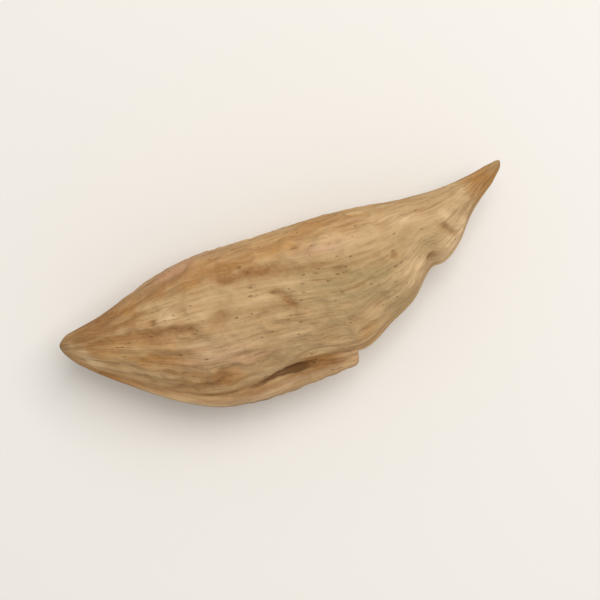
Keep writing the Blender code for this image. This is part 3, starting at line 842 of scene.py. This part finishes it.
class Effects:
    """The effects that a finish uses, each a node group that is built once."""

    fibre_shape: Triple = (1.0, 1.0, 0.07)
    dark_fibres: Pair = (0.5, 0.3)
    light_fibres: Pair = (0.52, 0.72)
    dust_range: Pair = (0.45, 0.68)
    speck_scale: float = 3.1
    speck_range: Pair = (0.64, 0.76)
    pinhole_shape: Triple = (1.0, 1.0, 0.42)
    pinhole_scale: float = 1.15
    pinhole_reach: Pair = (0.5, 1.3)
    pinhole_edge: Pair = (0.2, 0.1)
    pinhole_range: Pair = (0.45, 0.8)

    def __init__(self) -> None:
        """Build the groups."""
        self.fibres = self.build_fibres()
        self.dust = self.build_dust()

    @staticmethod
    def new_group(name: str, place: str, factor: str, outputs: tuple[str, ...]) -> Graph:
        """Start a node group.

        Args:
            name: The group's name.
            place: The name of its first input, a place.
            factor: The name of its second input, a number.
            outputs: The names of its outputs, all numbers.

        Returns:
            The group's graph, with its input and output nodes in place.
        """
        tree = bpy.data.node_groups.new(name, "ShaderNodeTree")
        tree.interface.new_socket(place, in_out="INPUT", socket_type="NodeSocketVector")
        tree.interface.new_socket(factor, in_out="INPUT", socket_type="NodeSocketFloat")
        for label in outputs:
            tree.interface.new_socket(label, in_out="OUTPUT", socket_type="NodeSocketFloat")
        graph = Graph(tree)
        graph.node("NodeGroupInput")
        graph.node("NodeGroupOutput")
        return graph

    def build_fibres(self) -> bpy.types.NodeTree:
        """Build fine fibres that run along the grain, with dark gaps and light strands between them."""
        graph = self.new_group("along_the_grain", "Grain", "Fineness", ("Dark", "Light", "Height"))
        source, drain = graph.tree.nodes[0].outputs, graph.tree.nodes[1].inputs
        place = graph.scale(graph.stretch(source["Grain"], self.fibre_shape), source["Fineness"])
        tone = graph.noise(place, 1.0, 5.0, 0.62, 0.35)
        graph.tree.links.new(graph.remap(tone, *self.dark_fibres), drain["Dark"])
        graph.tree.links.new(graph.remap(tone, *self.light_fibres), drain["Light"])
        graph.tree.links.new(tone, drain["Height"])
        return graph.tree

    def build_dust(self) -> bpy.types.NodeTree:
        """Build dust and specks, the same in every direction, and pinholes drawn out along the third axis."""
        outputs = ("Dust", "Specks", "Pinholes", "Height")
        graph = self.new_group("dust_and_pinholes", "Place", "Fineness", outputs)
        source, drain = graph.tree.nodes[0].outputs, graph.tree.nodes[1].inputs
        place = graph.scale(source["Place"], source["Fineness"])
        cloud = graph.noise(place, 1.0, 6.0, 0.7)
        specks = graph.noise(place, self.speck_scale, 2.0, 0.5)
        drawn_out = graph.stretch(place, self.pinhole_shape)
        holes = graph.node("ShaderNodeTexVoronoi", {"Vector": drawn_out, "Scale": self.pinhole_scale})
        draws = graph.node("ShaderNodeSeparateColor", {"Color": holes.outputs["Color"]}).outputs
        reach = graph.remap(draws[1], 0.0, 1.0, *self.pinhole_reach)
        hole = graph.remap(graph.math("DIVIDE", holes.outputs["Distance"], reach), *self.pinhole_edge)
        hole = graph.math("MULTIPLY", hole, graph.remap(draws[0], *self.pinhole_range))
        graph.tree.links.new(graph.remap(cloud, *self.dust_range), drain["Dust"])
        graph.tree.links.new(graph.remap(specks, *self.speck_range), drain["Specks"])
        graph.tree.links.new(hole, drain["Pinholes"])
        graph.tree.links.new(graph.math("SUBTRACT", cloud, hole), drain["Height"])
        return graph.tree


@dataclass(frozen=True)
class ShellFinish:
    """The dry, dull, fibrous shell, in the colours that it has in each place.

    Its furrows, net hollows, pores, pinholes and split carry painted shade, and a few patches are painted
    highlights.
    """

    straw: Colour = seen_colour(194, 161, 116)
    tan: Colour = seen_colour(182, 146, 102)
    olive: Colour = seen_colour(168, 144, 101)
    rose: Colour = seen_colour(192, 150, 125)
    orange: Colour = seen_colour(190, 134, 63)
    brown: Colour = seen_colour(148, 102, 58)
    pale: Colour = seen_colour(211, 177, 131)
    cream: Colour = seen_colour(235, 202, 158)
    skin: Colour = seen_colour(170, 126, 80)
    # groove: painted shade in the furrows, laid on in step with their depth.
    groove: Colour = seen_colour(144, 100, 55)
    # pore: painted shade inside the pores and pinholes, and also the colour of the small dark specks.
    pore: Colour = seen_colour(122, 86, 50)
    rim: Colour = seen_colour(173, 147, 117)
    # split: painted shade, the dark brown of the gap between the two halves, growing with its depth.
    split: Colour = seen_colour(129, 90, 50)
    strand: Colour = seen_colour(216, 185, 140)
    gap: Colour = seen_colour(148, 107, 64)
    dust: Colour = seen_colour(212, 186, 147)
    gloss: float = 0.22
    roughness: Pair = (0.7, 0.95)
    fibre_fineness: float = 3.4
    dust_fineness: float = 2.4
    dust_in_bump: float = 0.6
    bump_strength: float = 0.8
    bump_depth: float = 0.00018
    strand_cover: Pair = (0.4, 0.24)
    light_band_cover: float = 0.85

    def colour(self, graph: Graph, fibres: bpy.types.Node, dust: bpy.types.Node) -> Socket:
        """Lay the shell's colours over each other, with painted shade and painted highlights among them.

        Args:
            graph: The material's graph.
            fibres: The node that holds the fibre group.
            dust: The node that holds the dust group.

        Returns:
            The colour's socket.
        """
        zones = {tint: graph.attribute(tint.value) for tint in Tint}
        warm = graph.math("MAXIMUM", zones[Tint.ORANGE], zones[Tint.BROWN])
        paler = graph.remap(warm, 0.0, 1.0, *self.strand_cover)
        light_band = graph.math("MULTIPLY", graph.attribute("light_band"), self.light_band_cover)
        layers = (
            # Painted shade: the net's hollows darkened with the stains' brown.
            (graph.attribute("hollow"), self.brown, 0.25),
            (graph.attribute("rim"), self.rim, 0.8),
            (zones[Tint.OLIVE], self.olive, 1.0),
            (zones[Tint.ROSE], self.rose, 1.0),
            (zones[Tint.ORANGE], self.orange, 1.0),
            (zones[Tint.BROWN], self.brown, 1.0),
            (graph.attribute("skin"), self.skin, 0.25),
            (zones[Tint.PALE], self.pale, 1.0),
            (zones[Tint.CREAM], self.cream, 1.0),
            (graph.attribute("dark_band"), self.gap, 0.42),
            (light_band, self.strand, paler),
            (fibres.outputs["Dark"], self.gap, 0.5),
            (fibres.outputs["Light"], self.strand, paler),
            # Painted shade: the furrows darken with their depth.
            (graph.attribute("groove"), self.groove, 0.75),
            # Painted shade inside the pores.
            (graph.attribute("pore"), self.pore, 0.7),
            (dust.outputs["Specks"], self.pore, 0.3),
            # Painted shade inside the pinholes, which the bump also sinks.
            (dust.outputs["Pinholes"], self.pore, 0.55),
            (dust.outputs["Dust"], self.dust, 0.16),
            # Painted shade in the split between the two halves.
            (graph.attribute("split"), self.split, 1.0),
        )
        clouds = graph.noise(graph.attribute("flow", "Vector"), 0.45, 5.0, 0.6)
        colour = graph.mix(self.tan, self.straw, graph.remap(clouds, 0.36, 0.62))
        for place, tone, cover in layers:
            colour = graph.mix(colour, tone, graph.math("MULTIPLY", place, cover))
        return colour

    def build(self, effects: Effects) -> bpy.types.Material:
        """Build the material.

        Args:
            effects: The shared node groups.

        Returns:
            The shell's material.
        """
        material = bpy.data.materials.new("straw_shell")
        material.use_nodes = True
        graph = Graph(material.node_tree)
        shader = material.node_tree.nodes["Principled BSDF"]
        shader.inputs["Specular IOR Level"].default_value = self.gloss
        flow = graph.attribute("flow", "Vector")
        fibres = graph.node("ShaderNodeGroup", {
            "Grain": flow, "Fineness": self.fibre_fineness,
        }, node_tree=effects.fibres)
        dust = graph.node("ShaderNodeGroup", {
            "Place": flow, "Fineness": self.dust_fineness,
        }, node_tree=effects.dust)
        graph.tree.links.new(self.colour(graph, fibres, dust), shader.inputs["Base Color"])
        uneven = dust.outputs["Height"]
        graph.tree.links.new(graph.remap(uneven, 0.3, 0.7, *self.roughness), shader.inputs["Roughness"])
        height = graph.math("MULTIPLY", uneven, self.dust_in_bump)
        height = graph.math("ADD", fibres.outputs["Height"], height)
        bump = graph.node("ShaderNodeBump", {
            "Strength": self.bump_strength, "Distance": self.bump_depth, "Height": height,
        })
        graph.tree.links.new(bump.outputs[0], shader.inputs["Normal"])
        return material


@dataclass
class NutShell:
    """The nut itself, from a ball to the finished piece."""

    form: NutForm
    relief: Relief
    finish: ShellFinish

    def ball(self) -> bpy.types.Object:
        """Add the ball that the nut starts from, its poles on Z and its rings to become the sections."""
        bpy.ops.object.select_all(action="DESELECT")
        bpy.ops.mesh.primitive_uv_sphere_add(segments=self.form.sides, ring_count=self.form.sections)
        ball = bpy.context.object
        ball.name = ball.data.name = "nut_shell"
        return ball

    @staticmethod
    def read(mesh: bpy.types.Mesh, attribute: str) -> Array:
        """Read every vertex's place or normal as rows of three."""
        values = np.empty(3 * len(mesh.vertices))
        mesh.vertices.foreach_get(attribute, values)
        return values.reshape(-1, 3)

    @staticmethod
    def face_outwards(piece: bpy.types.Object) -> None:
        """Point every face of a closed piece outwards."""
        bpy.ops.object.mode_set(mode="EDIT")
        bpy.ops.mesh.select_all(action="SELECT")
        bpy.ops.mesh.normals_make_consistent(inside=False)
        bpy.ops.object.mode_set(mode="OBJECT")
        piece.data.update()

    def settle(self, points: Array) -> Array:
        """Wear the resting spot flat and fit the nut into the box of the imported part.

        Args:
            points: The nut's points in its own axes, in millimetres.

        Returns:
            The points in the part's frame, in metres.
        """
        rest = points[:, 2].min() + self.form.rest_depth
        points[:, 2] = np.maximum(points[:, 2], rest)
        low, high = (np.array(corner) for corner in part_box(NODE))
        share = (points - points.min(axis=0)) / (points.max(axis=0) - points.min(axis=0))
        return low + share * (high - low)

    def mark(self, mesh: bpy.types.Mesh, measured: dict[str, Array]) -> None:
        """Write what the finish needs to know onto the mesh.

        Args:
            mesh: The nut's mesh.
            measured: Masks and the place in the grain, one row for each vertex.
        """
        for name, values in measured.items():
            if values.ndim == 2:
                store = mesh.attributes.new(name, "FLOAT_VECTOR", "POINT")
                store.data.foreach_set("vector", values.astype(np.float32).ravel())
            else:
                store = mesh.attributes.new(name, "FLOAT", "POINT")
                store.data.foreach_set("value", values.astype(np.float32))

    def build(self, effects: Effects) -> bpy.types.Object:
        """Shape the ball into the nut, carve its relief, set it on its cheek and dress it.

        Args:
            effects: The shared node groups.

        Returns:
            The finished piece.
        """
        nut = self.ball()
        start = self.read(nut.data, "co")
        share = np.arccos(np.clip(start[:, 2], -1.0, 1.0)) / math.pi
        turn = np.arctan2(start[:, 1], start[:, 0])
        form = self.form
        along = form.length * (share - form.end_crowding * np.sin(2 * math.pi * share) / (2 * math.pi))
        points = form.plain_points(along, turn)
        nut.data.vertices.foreach_set("co", points.ravel())
        self.face_outwards(nut)
        measured = self.relief.measure(points, turn)
        points = points + measured.pop("height")[:, None] * self.read(nut.data, "normal")
        nut.data.vertices.foreach_set("co", self.settle(points).ravel())
        nut.data.update()
        bpy.ops.object.shade_smooth()
        self.mark(nut.data, measured)
        nut.data.materials.append(self.finish.build(effects))
        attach(nut, BODY)
        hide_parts(NODE)
        return nut


@dataclass
class Studio:
    """The pale floor, the soft light and the camera straight above."""

    nut_length: float
    nut_middle: Vector
    share_of_view: float = 0.8
    roll: float = math.radians(23.2)
    lens: float = 100.0
    sensor: float = 36.0
    floor_size: float = 1.6
    floor_colour: Colour = seen_colour(236, 233, 228)
    sky_strength: float = 0.55
    key_power: float = 0.67
    key_size: float = 0.24
    key_place: Triple = (0.125, 0.06, 0.28)

    def build_floor(self) -> None:
        """Lay the plain pale floor."""
        bpy.ops.object.select_all(action="DESELECT")
        bpy.ops.mesh.primitive_plane_add(size=self.floor_size)
        floor = bpy.context.object
        floor.name = "floor"
        material = bpy.data.materials.new("pale_floor")
        material.use_nodes = True
        shader = material.node_tree.nodes["Principled BSDF"]
        shader.inputs["Base Color"].default_value = self.floor_colour
        shader.inputs["Roughness"].default_value = 0.9
        shader.inputs["Specular IOR Level"].default_value = 0.1
        floor.data.materials.append(material)

    def build_light(self) -> None:
        """Set up the soft key light and an even sky."""
        world = bpy.data.worlds.new("soft_sky")
        world.use_nodes = True
        sky = world.node_tree.nodes["Background"]
        sky.inputs["Color"].default_value = (1.0, 0.99, 0.97, 1.0)
        sky.inputs["Strength"].default_value = self.sky_strength
        bpy.context.scene.world = world
        bpy.ops.object.light_add(type="AREA", location=self.key_place)
        key = bpy.context.object
        key.name = "key"
        key.data.energy = self.key_power
        key.data.size = self.key_size
        key.data.color = (1.0, 0.975, 0.94)
        aim = self.nut_middle - Vector(self.key_place)
        key.rotation_euler = aim.to_track_quat("-Z", "Y").to_euler()

    def build_camera(self) -> None:
        """Set the camera straight above the nut, turned so that the nut points up to the right."""
        view = self.nut_length / self.share_of_view
        distance = view * self.lens / self.sensor
        place = self.nut_middle + Vector((0.0, 0.0, distance))
        bpy.ops.object.camera_add(location=place, rotation=(0.0, 0.0, -self.roll))
        camera = bpy.context.object
        camera.data.lens = self.lens
        camera.data.sensor_width = self.sensor
        camera.data.clip_start = 0.01
        bpy.context.scene.camera = camera

    def build(self) -> None:
        """Build the floor, the light and the camera."""
        self.build_floor()
        self.build_light()
        self.build_camera()
        bpy.context.scene.view_settings.view_transform = "Standard"


def main() -> None:
    """Build the nut, then the studio round it."""
    logging.basicConfig(level=logging.INFO, format="%(name)s: %(message)s")
    effects = Effects()
    form = NutForm()
    shell = NutShell(form, Relief(form), ShellFinish()).build(effects)
    LOG.info("%s: %d triangles", shell.name, sum(len(face.vertices) - 2 for face in shell.data.polygons))
    low, high = CAD_BOX
    Studio(nut_length=high.x - low.x, nut_middle=0.5 * (low + high)).build()


if __name__ == "__main__":
    main()
